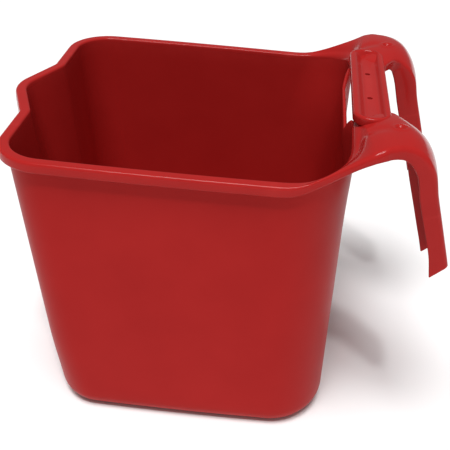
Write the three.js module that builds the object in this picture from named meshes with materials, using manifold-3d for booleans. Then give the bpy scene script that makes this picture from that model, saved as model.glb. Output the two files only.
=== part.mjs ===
// Hook-over feed bucket: a tapered plastic tub with a pouring lip at one end and, at the
// other, two hooks that hang it on a rail or a stable door, with a carry grip between them.
// The real bucket is one moulding. It is modelled as the regions a moulder would name.
// Millimetres. +X points to the hooks, +Z up, and X-Z is the plane of symmetry. The origin
// is on the underside of the floor, below the middle of the mouth's length.

import * as THREE from 'three';
import { mergeVertices } from 'three/addons/utils/BufferGeometryUtils.js';
import Module from 'manifold-3d';

const wasm = await Module();
wasm.setup();

// ---- Driving dimensions -------------------------------------------------------------

// Tub, measured on the outside of its walls at rim height
const MOUTH_LENGTH = 251;
const MOUTH_WIDTH = 243;
const RIM_HEIGHT = 240;
const WALL = 3;
const SPOUT_WALL_LEAN = 26; // how far the pouring end slopes in from rim to floor
const SIDE_WALL_LEAN = 5.2; // the same for each long side; the hook end is upright
const SIDE_BOW = 2.5; // outward bow of each long side at its middle
const HOOK_CORNER_RADIUS = 50;
const SPOUT_CORNER_RADIUS = 30;

// Pouring lip: a round lobe between two notches, which fades out down the wall
const SPOUT_RADIUS = 32;
const SPOUT_REACH = 17;
const SPOUT_HALF_WIDTH = 47;
const SPOUT_FOOT_HEIGHT = 60;

// Rim: a flat lip that turns down into a skirt
const RIM_OVERHANG = 5.7;
const RIM_THICKNESS = 3;
const SKIRT_DEPTH = 8;
const SKIRT_THICKNESS = 2.2;

// Hooks: straps with turned-down edges that climb from the rim, cross over and go down
const HOOK_REACH = 25.7; // hook wall to the centre of the crest
const CREST_RISE = 32; // rim to the top of the crest
const CREST_RADIUS = 30;
const ROOT_RADIUS = 40; // hollow curve where the arm leaves the rim
const CLIMB_ANGLE = THREE.MathUtils.degToRad(28.4);
const SPLAY_ANGLE = THREE.MathUtils.degToRad(17.2);
const THROAT_RADIUS = 15.7;
const LEG_DEPTH = 16;
const HOOK_WIDTH = 44;
const HOOK_SPACING = 172; // between the middles of the two hooks
const HEEL_BELOW_RIM = 68; // end of the leg's outer face
const TOE_BELOW_RIM = 80; // end of the leg's inner edges
const LEG_NARROWING = 4;
const SHOULDER_FROM_CREST = 25; // where the arm's outer edge turns from rim to hook
const SHOULDER_BULGE = 2;
const TOE_PLATE_SETBACK = 1;

// Carry grip: a shallow channel, hollow side up, with two drain holes
const GRIP_LENGTH = 116;
const GRIP_WIDTH = 28;
const GRIP_TOP_ABOVE_RIM = 30;
const GRIP_THICKNESS = 8;
const GRIP_WALL_CLEARANCE = 2; // how far the grip's inner edge reaches over the hook wall
const CHANNEL_DEPTH = 4.5;
const CHANNEL_MARGIN = 5;
const DRAIN_HOLE_RADIUS = 2.2;
const DRAIN_HOLE_SPACING = 48;
const GRIP_FILLET = 13;
const GRIP_CORNER_RADIUS = 2;

const GAP = 0.3; // clearance kept between neighbouring solids
const PAST = 5; // how far a cutting solid runs past what it cuts
const ARC_STEPS = 9;
const HOLE_SIDES = 12;
const WALL_LEVELS = 6; // rows of facets up the tub's leaning walls

// ---- Dimensions that follow ---------------------------------------------------------

const halfLength = MOUTH_LENGTH / 2;
const halfWidth = MOUTH_WIDTH / 2;
const rimHalfWidth = halfWidth + RIM_OVERHANG;
const spoutCentreX = -halfLength - SPOUT_REACH + SPOUT_RADIUS;
const crestX = halfLength + HOOK_REACH;
const crestZ = RIM_HEIGHT + CREST_RISE - CREST_RADIUS;
const quarter = Math.PI / 2;
const climb = { x: -Math.sin(CLIMB_ANGLE), z: Math.cos(CLIMB_ANGLE) }; // outward normals
const splay = { x: Math.cos(SPLAY_ANGLE), z: Math.sin(SPLAY_ANGLE) };
const rootZ = RIM_HEIGHT + ROOT_RADIUS;
const rootX = crestX - (CREST_RADIUS + ROOT_RADIUS - (rootZ - crestZ) * climb.z) / -climb.x;
const hookInnerY = (HOOK_SPACING - HOOK_WIDTH) / 2;
const hookOuterY = (HOOK_SPACING + HOOK_WIDTH) / 2;
const gripEndY = GRIP_LENGTH / 2;
const gripInnerX = halfLength - GRIP_WALL_CLEARANCE;
const gripOuterX = gripInnerX + GRIP_WIDTH;
const gripTopZ = RIM_HEIGHT + GRIP_TOP_ABOVE_RIM;
const heelZ = RIM_HEIGHT - HEEL_BELOW_RIM;
const toeZ = RIM_HEIGHT - TOE_BELOW_RIM;
const highestZ = Math.max(gripTopZ, RIM_HEIGHT + CREST_RISE) + PAST;

// ---- Solids -------------------------------------------------------------------------

function solidFrom(geometry) {
  const plain = geometry.clone();
  plain.deleteAttribute('normal');
  plain.deleteAttribute('uv');
  const merged = mergeVertices(plain, 1e-4);
  return new wasm.Manifold(new wasm.Mesh({
    numProp: 3,
    vertProperties: new Float32Array(merged.attributes.position.array),
    triVerts: new Uint32Array(merged.index.array),
  }));
}

function geometryFrom(solid) {
  const { vertProperties, triVerts } = solid.getMesh();
  const geometry = new THREE.BufferGeometry();
  geometry.setAttribute('position', new THREE.BufferAttribute(vertProperties, 3));
  geometry.setIndex(new THREE.BufferAttribute(triVerts, 1));
  geometry.computeVertexNormals();
  return geometry;
}

// A plan outline raised from one height to another
function upright(shape, bottom, top, levels = 1, curveSegments = ARC_STEPS) {
  const options = { depth: top - bottom, steps: levels, bevelEnabled: false, curveSegments };
  return new THREE.ExtrudeGeometry(shape, options).translate(0, 0, bottom);
}

// A side outline in X-Z carried across from one Y to another
function crosswise(shape, fromY, toY) {
  const options = { depth: toY - fromY, bevelEnabled: false, curveSegments: ARC_STEPS };
  return solidFrom(new THREE.ExtrudeGeometry(shape, options).rotateX(quarter).translate(0, toY, 0));
}

function box(lowX, highX, lowY, highY, lowZ, highZ) {
  const block = new THREE.BoxGeometry(highX - lowX, highY - lowY, highZ - lowZ);
  block.translate((lowX + highX) / 2, (lowY + highY) / 2, (lowZ + highZ) / 2);
  return solidFrom(block);
}

// ---- Tub ----------------------------------------------------------------------------

// Plan of the tub at rim height, moved out from the walls' outside by `grow`
function tubPlan(grow) {
  const endX = halfLength + grow;
  const sideY = halfWidth + grow;
  const hookR = HOOK_CORNER_RADIUS + grow;
  const spoutR = SPOUT_CORNER_RADIUS + grow;
  const lobeR = SPOUT_RADIUS + grow;
  const notchX = -halfLength - spoutCentreX;
  const notchDistance = Math.hypot(notchX, SPOUT_HALF_WIDTH);
  const tangent = Math.atan2(SPOUT_HALF_WIDTH, notchX) + Math.acos(SPOUT_RADIUS / notchDistance);
  const notchY = (lobeR - (notchX - grow) * Math.cos(tangent)) / Math.sin(tangent);
  const bowX = (spoutR - hookR) / 2;
  const plan = new THREE.Shape();
  plan.moveTo(endX, -(sideY - hookR));
  plan.lineTo(endX, sideY - hookR);
  plan.absarc(endX - hookR, sideY - hookR, hookR, 0, quarter);
  plan.quadraticCurveTo(bowX, sideY + 2 * SIDE_BOW, spoutR - endX, sideY);
  plan.absarc(spoutR - endX, sideY - spoutR, spoutR, quarter, 2 * quarter);
  plan.lineTo(-endX, notchY);
  plan.absarc(spoutCentreX, 0, lobeR, tangent, 4 * quarter - tangent);
  plan.lineTo(-endX, -notchY);
  plan.absarc(spoutR - endX, spoutR - sideY, spoutR, 2 * quarter, 3 * quarter);
  plan.quadraticCurveTo(bowX, -sideY - 2 * SIDE_BOW, endX - hookR, -sideY);
  plan.absarc(endX - hookR, hookR - sideY, hookR, 3 * quarter, 4 * quarter);
  return plan;
}

// Leans an upright tub solid's walls in towards the floor and fades its lobe out
function leaned(geometry, grow) {
  const wallX = -halfLength - grow;
  const place = geometry.attributes.position;
  for (let i = 0; i < place.count; i += 1) {
    const z = place.getZ(i);
    const below = Math.max(0, 1 - z / RIM_HEIGHT);
    const fade = (z - SPOUT_FOOT_HEIGHT) / (RIM_HEIGHT - SPOUT_FOOT_HEIGHT);
    const lobe = THREE.MathUtils.clamp(fade, 0, 1);
    let x = place.getX(i);
    if (x < wallX) x = wallX + (x - wallX) * lobe;
    x += SPOUT_WALL_LEAN * below * (halfLength - x) / MOUTH_LENGTH;
    place.setXY(i, x, place.getY(i) * (1 - SIDE_WALL_LEAN * below / halfWidth));
  }
  return solidFrom(geometry);
}

// Everything above the tub's top edge: level under the rim, climbing with the hook arms at
// the corners, and level again across the hand gap
function aboveTubEdge() {
  const top = new THREE.Shape();
  top.moveTo(rootX - PAST, RIM_HEIGHT);
  top.lineTo(rootX, RIM_HEIGHT);
  top.absarc(rootX, rootZ, ROOT_RADIUS, -quarter, CLIMB_ANGLE - quarter);
  top.absarc(crestX, crestZ, CREST_RADIUS, quarter + CLIMB_ANGLE, quarter, true);
  top.lineTo(crestX, highestZ + PAST);
  top.lineTo(rootX - PAST, highestZ + PAST);
  const reach = rimHalfWidth + PAST;
  const farLeft = -halfLength - SPOUT_REACH - PAST;
  const underRim = RIM_HEIGHT - RIM_THICKNESS - GAP;
  return crosswise(top, -reach, reach)
    .add(box(farLeft, rootX, -reach, reach, underRim, highestZ + PAST))
    .add(box(rootX, crestX, -gripEndY, gripEndY, RIM_HEIGHT, highestZ + PAST));
}

function tubShell() {
  const bottom = WALL + GAP;
  const outside = leaned(upright(tubPlan(0), bottom, highestZ, WALL_LEVELS), 0);
  const inside = leaned(upright(tubPlan(-WALL), bottom - PAST, highestZ + PAST, WALL_LEVELS), -WALL);
  return outside.subtract(inside).subtract(aboveTubEdge());
}

function tubFloor() {
  return leaned(upright(tubPlan(0), 0, WALL), 0);
}

// The whole lip round the mouth, with its skirt, as far as the roots of the hook arms
function rimRing() {
  const under = RIM_HEIGHT - RIM_THICKNESS;
  const skirtEnd = RIM_HEIGHT - SKIRT_DEPTH;
  const lip = solidFrom(upright(tubPlan(RIM_OVERHANG), skirtEnd, RIM_HEIGHT));
  const mouth = solidFrom(upright(tubPlan(-WALL), skirtEnd - PAST, RIM_HEIGHT + PAST));
  const groove = solidFrom(upright(tubPlan(RIM_OVERHANG - SKIRT_THICKNESS), skirtEnd - PAST, under));
  const reach = rimHalfWidth + PAST;
  const beyondRoots = box(rootX - GAP, halfLength * 2, -reach, reach, skirtEnd - PAST, highestZ);
  return lip.subtract(mouth).subtract(groove).subtract(beyondRoots);
}

// The stretch of lip round the spout, and the stretch along one long side
const spoutStretchY = SPOUT_HALF_WIDTH + RIM_OVERHANG;
const farEndX = halfLength + SPOUT_REACH + 2 * PAST;

function besideSpout() {
  return box(-farEndX, spoutCentreX + SPOUT_RADIUS, -spoutStretchY, spoutStretchY, 0, highestZ);
}

function longSide(side) {
  const near = side * (spoutStretchY + GAP);
  const far = side * (rimHalfWidth + 2 * PAST);
  return box(-farEndX, farEndX, Math.min(near, far), Math.max(near, far), 0, highestZ);
}

// ---- Hooks --------------------------------------------------------------------------

// Centre of the arc that is tangent to two lines set in from the hook's outside
function throatCentre(armDepth, legDepth, radius) {
  const alongClimb = CREST_RADIUS - armDepth - radius;
  const alongSplay = CREST_RADIUS - legDepth - radius;
  const turn = climb.x * splay.z - climb.z * splay.x;
  return {
    x: crestX + (alongClimb * splay.z - alongSplay * climb.z) / turn,
    z: crestZ + (alongSplay * climb.x - alongClimb * splay.x) / turn,
  };
}

// A point on the leg's outside, or set in from it by `depth`, at a given height
function legX(z, depth) {
  return crestX + (CREST_RADIUS - depth - (z - crestZ) * splay.z) / splay.x;
}

// Traces the hook's outside from rim to heel
function traceOutside(shape) {
  shape.moveTo(rootX - PAST, RIM_HEIGHT);
  shape.lineTo(rootX, RIM_HEIGHT);
  shape.absarc(rootX, rootZ, ROOT_RADIUS, -quarter, CLIMB_ANGLE - quarter);
  shape.absarc(crestX, crestZ, CREST_RADIUS, quarter + CLIMB_ANGLE, SPLAY_ANGLE, true);
  shape.lineTo(legX(heelZ, 0), heelZ);
}

// Side view of the hook with its turned-down edges
function hookSide() {
  const throat = throatCentre(SKIRT_DEPTH, LEG_DEPTH, THROAT_RADIUS);
  const side = new THREE.Shape();
  traceOutside(side);
  side.lineTo(legX(toeZ, LEG_DEPTH), toeZ);
  side.absarc(throat.x, throat.z, THROAT_RADIUS, SPLAY_ANGLE, quarter + CLIMB_ANGLE);
  side.absarc(rootX, rootZ, ROOT_RADIUS + SKIRT_DEPTH, CLIMB_ANGLE - quarter, -quarter, true);
  side.lineTo(rootX - PAST, RIM_HEIGHT - SKIRT_DEPTH);
  return crosswise(side, -rimHalfWidth - PAST, rimHalfWidth + PAST);
}

// Side view of the hollow under the strap, run out past the leg's end
function hollowSide() {
  const inner = CREST_RADIUS - WALL;
  const below = toeZ - 4 * PAST;
  const side = new THREE.Shape();
  side.moveTo(rootX - 2 * PAST, RIM_HEIGHT - WALL);
  side.lineTo(rootX, RIM_HEIGHT - WALL);
  side.absarc(rootX, rootZ, ROOT_RADIUS + WALL, -quarter, CLIMB_ANGLE - quarter);
  side.absarc(crestX, crestZ, inner, quarter + CLIMB_ANGLE, SPLAY_ANGLE, true);
  side.lineTo(legX(below, WALL), below);
  side.lineTo(rootX - 2 * PAST, below);
  return crosswise(side, -rimHalfWidth - PAST, rimHalfWidth + PAST);
}

// Plan of one hook, from its root at the rim to past its leg. Drawn in by `inset` it is the
// plan of the hollow, which runs on past the hook's end and into the tub's wall.
function hookPlan(side, inset) {
  const wallR = HOOK_CORNER_RADIUS + (inset > 0 ? -PAST : GAP);
  const cornerX = halfLength - HOOK_CORNER_RADIUS;
  const cornerY = halfWidth - HOOK_CORNER_RADIUS;
  const startX = inset > 0 ? rootX - PAST : rootX;
  const startAngle = Math.acos(Math.min(1, Math.max(0, (startX - cornerX) / wallR)));
  const shoulderX = crestX - SHOULDER_FROM_CREST;
  const shoulderY = (rimHalfWidth + hookOuterY) / 2 + SHOULDER_BULGE;
  const neckX = crestX - CREST_RADIUS / 4;
  const legStart = crestX + CREST_RADIUS / 2;
  const legEnd = legX(toeZ, 0) + 2 * PAST;
  const outer = hookOuterY - inset;
  const inner = hookInnerY + inset;
  const gripX = gripOuterX + GAP + inset;
  const gripY = gripEndY + inset;
  const p = (x, y) => [x, side * y];
  const plan = new THREE.Shape();
  plan.moveTo(...p(startX, rimHalfWidth - inset));
  plan.lineTo(...p(rootX, rimHalfWidth - inset));
  plan.lineTo(...p(shoulderX, shoulderY - inset));
  plan.quadraticCurveTo(...p(neckX, outer + SHOULDER_BULGE), ...p(legStart, outer));
  plan.lineTo(...p(legEnd, outer - LEG_NARROWING));
  plan.lineTo(...p(legEnd, inner + LEG_NARROWING / 2));
  plan.lineTo(...p(legStart, inner));
  plan.quadraticCurveTo(...p(gripX + GRIP_FILLET / 2, inner), ...p(gripX, gripY - GRIP_FILLET + inset));
  plan.lineTo(...p(gripX, gripY));
  plan.lineTo(...p(cornerX + wallR, gripY));
  plan.lineTo(...p(cornerX + wallR, cornerY));
  for (let step = 1; step <= ARC_STEPS; step += 1) {
    const angle = startAngle * step / ARC_STEPS;
    plan.lineTo(...p(cornerX + wallR * Math.cos(angle), cornerY + wallR * Math.sin(angle)));
  }
  return plan;
}

function hook(side) {
  const whole = solidFrom(upright(hookPlan(side, 0), toeZ - PAST, highestZ)).intersect(hookSide());
  const insidePlan = solidFrom(upright(hookPlan(side, SKIRT_THICKNESS), toeZ - 4 * PAST, highestZ));
  return whole.subtract(insidePlan.intersect(hollowSide()));
}

// Height at which the crest hands over to the straight leg
const legTopZ = crestZ - GAP;

function legBox(grow) {
  const reach = rimHalfWidth + PAST;
  return box(crestX, legX(toeZ, 0) + 4 * PAST, -reach, reach, toeZ - 4 * PAST, legTopZ + grow);
}

// Plate that closes the leg's channel between its two turned edges, at the toe
function hookToe(side) {
  const depth = WALL + GAP;
  const plate = new THREE.Shape();
  const slope = (heelZ - toeZ) / (legX(heelZ, 0) - legX(toeZ, LEG_DEPTH));
  const nearX = legX(toeZ, LEG_DEPTH) + TOE_PLATE_SETBACK;
  const farX = legX(heelZ, depth);
  const nearZ = toeZ + slope * TOE_PLATE_SETBACK + GAP;
  plate.moveTo(nearX, nearZ);
  plate.lineTo(farX, heelZ - slope * depth);
  plate.lineTo(legX(heelZ + WALL, depth), heelZ - slope * depth + WALL);
  plate.lineTo(nearX - TOE_PLATE_SETBACK, nearZ + WALL);
  const inset = SKIRT_THICKNESS + GAP;
  const between = solidFrom(upright(hookPlan(side, inset), toeZ - PAST, heelZ + PAST));
  return between.intersect(crosswise(plate, -rimHalfWidth, rimHalfWidth));
}

// ---- Carry grip ---------------------------------------------------------------------

function roundedPlan(lowX, highX, halfY, radius) {
  const plan = new THREE.Shape();
  plan.moveTo(highX, radius - halfY);
  plan.lineTo(highX, halfY - radius);
  plan.absarc(highX - radius, halfY - radius, radius, 0, quarter);
  plan.absarc(lowX + radius, halfY - radius, radius, quarter, 2 * quarter);
  plan.absarc(lowX + radius, radius - halfY, radius, 2 * quarter, 3 * quarter);
  plan.absarc(highX - radius, radius - halfY, radius, 3 * quarter, 4 * quarter);
  return plan;
}

function carryGrip() {
  const bottom = gripTopZ - GRIP_THICKNESS;
  const margin = CHANNEL_MARGIN;
  const block = roundedPlan(gripInnerX, gripOuterX, gripEndY - GAP, GRIP_CORNER_RADIUS);
  const channel = roundedPlan(gripInnerX + margin, gripOuterX - margin, gripEndY - margin, margin);
  const floor = gripTopZ - CHANNEL_DEPTH;
  let grip = solidFrom(upright(block, bottom, gripTopZ));
  grip = grip.subtract(solidFrom(upright(channel, floor, gripTopZ + PAST)));
  for (const side of [-1, 1]) {
    const drill = [DRAIN_HOLE_RADIUS, DRAIN_HOLE_RADIUS, GRIP_THICKNESS * 2, HOLE_SIDES];
    const hole = new THREE.CylinderGeometry(...drill).rotateX(quarter);
    hole.translate((gripInnerX + gripOuterX) / 2, side * DRAIN_HOLE_SPACING / 2, bottom);
    grip = grip.subtract(solidFrom(hole));
  }
  return grip;
}

// ---- Assembly -----------------------------------------------------------------------

const bucket = new THREE.Group();

function addPiece(name, solid, colour = 0x9c2221) {
  const material = new THREE.MeshStandardMaterial({ color: colour, roughness: 0.35, metalness: 0 });
  const mesh = new THREE.Mesh(geometryFrom(solid), material);
  mesh.name = name;
  bucket.add(mesh);
}

const ring = rimRing();
addPiece('tub_floor', tubFloor());
addPiece('tub_shell', tubShell());
addPiece('pouring_lip', ring.intersect(besideSpout()), 0xac2e2d);
for (const [name, side] of [['near', -1], ['far', 1]]) {
  addPiece(`mouth_rim_${name}`, ring.intersect(longSide(side)), 0xac2e2d);
  const whole = hook(side);
  addPiece(`hook_arm_${name}`, whole.subtract(legBox(GAP)), 0xb92d28);
  addPiece(`hook_leg_${name}`, whole.intersect(legBox(0)));
  addPiece(`hook_toe_${name}`, hookToe(side));
}
addPiece('carry_grip', carryGrip(), 0xc7382f);

export default bucket;
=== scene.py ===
"""Builds the visible surfaces of a hook-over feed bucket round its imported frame."""

import math
from collections import namedtuple

import bmesh
import bpy
import numpy as np
from mathutils import Matrix, Vector


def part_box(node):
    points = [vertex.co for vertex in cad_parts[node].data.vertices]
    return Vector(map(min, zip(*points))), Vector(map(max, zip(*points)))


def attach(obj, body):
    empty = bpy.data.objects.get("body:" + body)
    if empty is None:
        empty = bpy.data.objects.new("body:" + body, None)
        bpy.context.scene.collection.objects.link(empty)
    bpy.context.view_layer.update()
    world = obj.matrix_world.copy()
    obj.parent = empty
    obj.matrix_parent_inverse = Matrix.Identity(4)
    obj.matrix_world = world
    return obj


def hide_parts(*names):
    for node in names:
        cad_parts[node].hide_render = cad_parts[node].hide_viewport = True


bl_info = {
    "name": "Hook-over Feed Bucket",
    "version": (1, 0, 0),
    "blender": (4, 5, 0),
    "location": "View3D > Sidebar > Feed Bucket",
    "description": "Moulded feed bucket with a pouring lip, two hooks and a carry grip",
    "category": "Add Mesh",
}

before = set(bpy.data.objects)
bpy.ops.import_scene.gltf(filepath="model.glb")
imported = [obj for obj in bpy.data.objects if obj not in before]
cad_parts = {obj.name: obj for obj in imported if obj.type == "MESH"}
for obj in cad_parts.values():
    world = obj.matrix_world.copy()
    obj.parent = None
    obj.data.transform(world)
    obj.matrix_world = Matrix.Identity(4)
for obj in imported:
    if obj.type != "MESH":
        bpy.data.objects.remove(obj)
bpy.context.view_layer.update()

MM = 0.001
BODY = "root"
SIDES = {"near": -1, "far": 1}


def cad_edge(node, end, axis):
    """Lowest (end 0) or highest (end 1) place of a CAD node on an axis, in millimetres."""
    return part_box(node)[end][axis] / MM


# Places taken from the frame, in millimetres
RIM_Z = cad_edge("pouring_lip", 1, 2)
HOOK_WALL_X = cad_edge("tub_shell", 1, 0)
RIM_HALF_WIDTH = cad_edge("mouth_rim_far", 1, 1)
LIP_TIP_X = cad_edge("pouring_lip", 0, 0)
CREST_TOP_Z = cad_edge("hook_arm_far", 1, 2)
GRIP_LOW_X = cad_edge("carry_grip", 0, 0)
GRIP_HIGH_X = cad_edge("carry_grip", 1, 0)
GRIP_TOP_Z = cad_edge("carry_grip", 1, 2)
GRIP_END_Y = cad_edge("carry_grip", 1, 1)

# ---- Sizes and colours that a user would change ------------------------------------------


def length(name, description, millimetres):
    """A size in metres, given here in millimetres."""
    return bpy.props.FloatProperty(
        name=name, description=description, default=millimetres * MM, unit="LENGTH", precision=4
    )


def colour(name, description, value):
    return bpy.props.FloatVectorProperty(
        name=name, description=description, default=value, size=3, subtype="COLOR", min=0, max=1
    )


class BucketTubSizes(bpy.types.PropertyGroup):
    wall: length("Wall", "Thickness of every wall", 3.0)
    spout_wall_lean: length("Spout wall lean", "How far the pouring end slopes in", 26.0)
    side_wall_lean: length("Side wall lean", "How far each long side slopes in", 5.2)
    side_bow: length("Side bow", "Outward bow of each long side", 2.5)
    spout_corner: length("Spout corner", "Plan radius of the corners by the spout", 30.5)
    spout_corner_base: length("Spout corner, base", "The same at the floor", 38.0)
    hook_corner_base: length("Hook corner, base", "Plan radius at the floor", 50.0)
    hook_corner_middle: length("Hook corner, middle", "Plan radius half way up", 54.0)
    hook_corner_top: length("Hook corner, top", "Plan radius where the arms leave", 38.0)
    lobe_radius: length("Spout lobe", "Plan radius of the pouring lobe", 29.6)
    notch_y: length("Notch", "Half the distance between the two notches", 47.0)
    notch_radius: length("Notch radius", "Plan radius of each notch", 16.0)
    lobe_foot: length("Lobe foot", "Height at which the lobe has faded out", 60.0)
    base_radius: length("Base radius", "Rounding between wall and underside", 15.0)
    inner_base_radius: length("Inner base radius", "Rounding between wall and floor", 10.0)


class BucketRimSizes(bpy.types.PropertyGroup):
    overhang: length("Overhang", "How far the lip stands out from the wall", 5.7)
    skirt_depth: length("Skirt depth", "How far the lip turns down", 8.0)
    skirt_thickness: length("Skirt thickness", "Thickness of the turned edge", 2.2)
    outer_radius: length("Outer edge", "Rounding of the lip's outer edge", 2.4)
    mouth_radius: length("Mouth edge", "Rounding of the mouth's edge", 1.6)
    shoulder_radius: length("Shoulder edge", "Rounding of the mouth's edge under the arms", 5.0)


class BucketGripSizes(bpy.types.PropertyGroup):
    shift: length("Shift to the tub", "How far the pad lies over the hook wall", 1.8)
    pad_half_length: length("Pad half length", "Middle to the rounded end", 71.0)
    end_radius: length("End radius", "Plan radius of the pad's ends", 13.0)
    channel_depth: length("Channel depth", "Depth of the hollow in the grip", 4.5)
    lip: length("Lip", "Width of the raised edge", 4.6)
    steep_slope: length("Slope by the tub", "Width of the channel's slope by the tub", 6.0)
    gentle_slope: length("Slope by the hooks", "Width of the other slope", 3.6)
    hole_diameter: length("Drain hole", "Diameter of a drain hole", 4.2)
    hole_spacing: length("Hole spacing", "Distance between the drain holes", 48.0)


class BucketLooks(bpy.types.PropertyGroup):
    plastic: colour("Plastic", "Colour of the moulded plastic", (0.41, 0.0165, 0.0150))
    deep: colour("Deep plastic", "Darker tone that mottles the plastic", (0.38, 0.0142, 0.0130))
    scuffed: colour("Scuffed edge", "Tone of edges that hands and rails rubbed", (0.56, 0.040, 0.036))
    floor: colour("Floor", "Colour of the ground", (0.90, 0.90, 0.90))


# ---- Small geometry tools ----------------------------------------------------------------

SHARP_ANGLE = math.radians(42)  # edges that turn further than this are shaded sharp
WELD = 1e-6
SLIVER = 1e-7


def unit(vectors):
    """Vectors scaled to length one, along the last axis."""
    vectors = np.asarray(vectors, float)
    return vectors / np.maximum(np.linalg.norm(vectors, axis=-1, keepdims=True), 1e-12)


def smooth(value, start, end):
    """Eased step from 0 at start to 1 at end."""
    t = np.clip((np.asarray(value, float) - start) / (end - start), 0, 1)
    return t * t * (3 - 2 * t)


def mixed(a, b, share):
    return a * (1 - share) + b * share


def through(knots, values, places):
    """Smooth curve through values at unevenly spaced knots (a cubic Hermite spline)."""
    knots = np.asarray(knots, float)
    values = np.asarray(values, float)
    slopes = np.gradient(values, knots, axis=0)
    k = np.clip(np.searchsorted(knots, places, side="right") - 1, 0, len(knots) - 2)
    span = knots[k + 1] - knots[k]
    t = np.clip((places - knots[k]) / span, 0, 1)
    if values.ndim > 1:
        span, t = span[:, None], t[:, None]
    rise = t * t * (3 - 2 * t)
    return (
        values[k] * (1 - rise) + values[k + 1] * rise
        + span * t * (1 - t) ** 2 * slopes[k] - span * t * t * (1 - t) * slopes[k + 1]
    )


def corner_arc(before, corner, after, radius, count):
    """Points of the arc that rounds one corner of a plan outline."""
    back, on = unit(before - corner), unit(after - corner)
    half = math.acos(np.clip(back @ on, -1, 1)) / 2
    centre = corner + unit(back + on) * radius / math.sin(half)
    first = corner + back * radius / math.tan(half) - centre
    last = corner + on * radius / math.tan(half) - centre
    turn = math.atan2(first[0] * last[1] - first[1] * last[0], first @ last)
    angles = np.linspace(0, turn, count)
    cos, sin = np.cos(angles), np.sin(angles)
    x = first[0] * cos - first[1] * sin
    y = first[0] * sin + first[1] * cos
    return centre + np.stack([x, y], axis=1)


def added(name, data):
    """A new object with this data, in the scene."""
    thing = bpy.data.objects.new(name, data)
    bpy.context.scene.collection.objects.link(thing)
    return thing


def plain_mesh(name, vertices, faces):
    """A smooth-shaded object from points in millimetres, with its faces pointing out."""
    mesh = bpy.data.meshes.new(name)
    mesh.from_pydata([tuple(float(c) * MM for c in v) for v in vertices], [], faces)
    work = bmesh.new()
    work.from_mesh(mesh)
    bmesh.ops.remove_doubles(work, verts=work.verts, dist=WELD)
    bmesh.ops.dissolve_degenerate(work, edges=work.edges, dist=SLIVER)
    bmesh.ops.recalc_face_normals(work, faces=work.faces)
    work.to_mesh(mesh)
    work.free()
    mesh.shade_smooth()
    mesh.set_sharp_from_angle(angle=SHARP_ANGLE)
    return added(name, mesh)


def loft(name, rows, joined_ends=False):
    """A solid through rows of points. Rows are loops, and the ends are capped or joined."""
    rows = np.asarray(rows, float)
    count, width = rows.shape[:2]
    vertices = list(rows.reshape(-1, 3))
    faces = []
    last_row = count if joined_ends else count - 1
    for i in range(last_row):
        for j in range(width):
            a, b = i * width, (i + 1) % count * width
            k = (j + 1) % width
            faces.append((a + j, a + k, b + k, b + j))
    if not joined_ends:
        for i in (0, count - 1):
            faces.append(tuple(i * width + j for j in range(width)))
    return plain_mesh(name, vertices, faces)


# ---- Plan of the tub ---------------------------------------------------------------------

# How many stations each stretch of the half outline has, from spout tip to hook wall
STRETCHES = {
    "tip": 10, "lobe_side": 9, "notch": 8, "spout_wall": 12, "spout_corner": 16,
    "long_side": 36, "hook_corner": 40, "hook_wall": 36,
}

HAND_DISH = 4.8  # how far the hook wall is hollowed at the hand gap
HAND_DISH_HEIGHT = 45  # how far below the rim the hollow starts
HAND_DISH_EASE = (40, 58)  # distances from the middle over which it fades out
SPOUT_CORNER_EASE = 0.3  # share of the height over which the spout corners tighten


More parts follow.
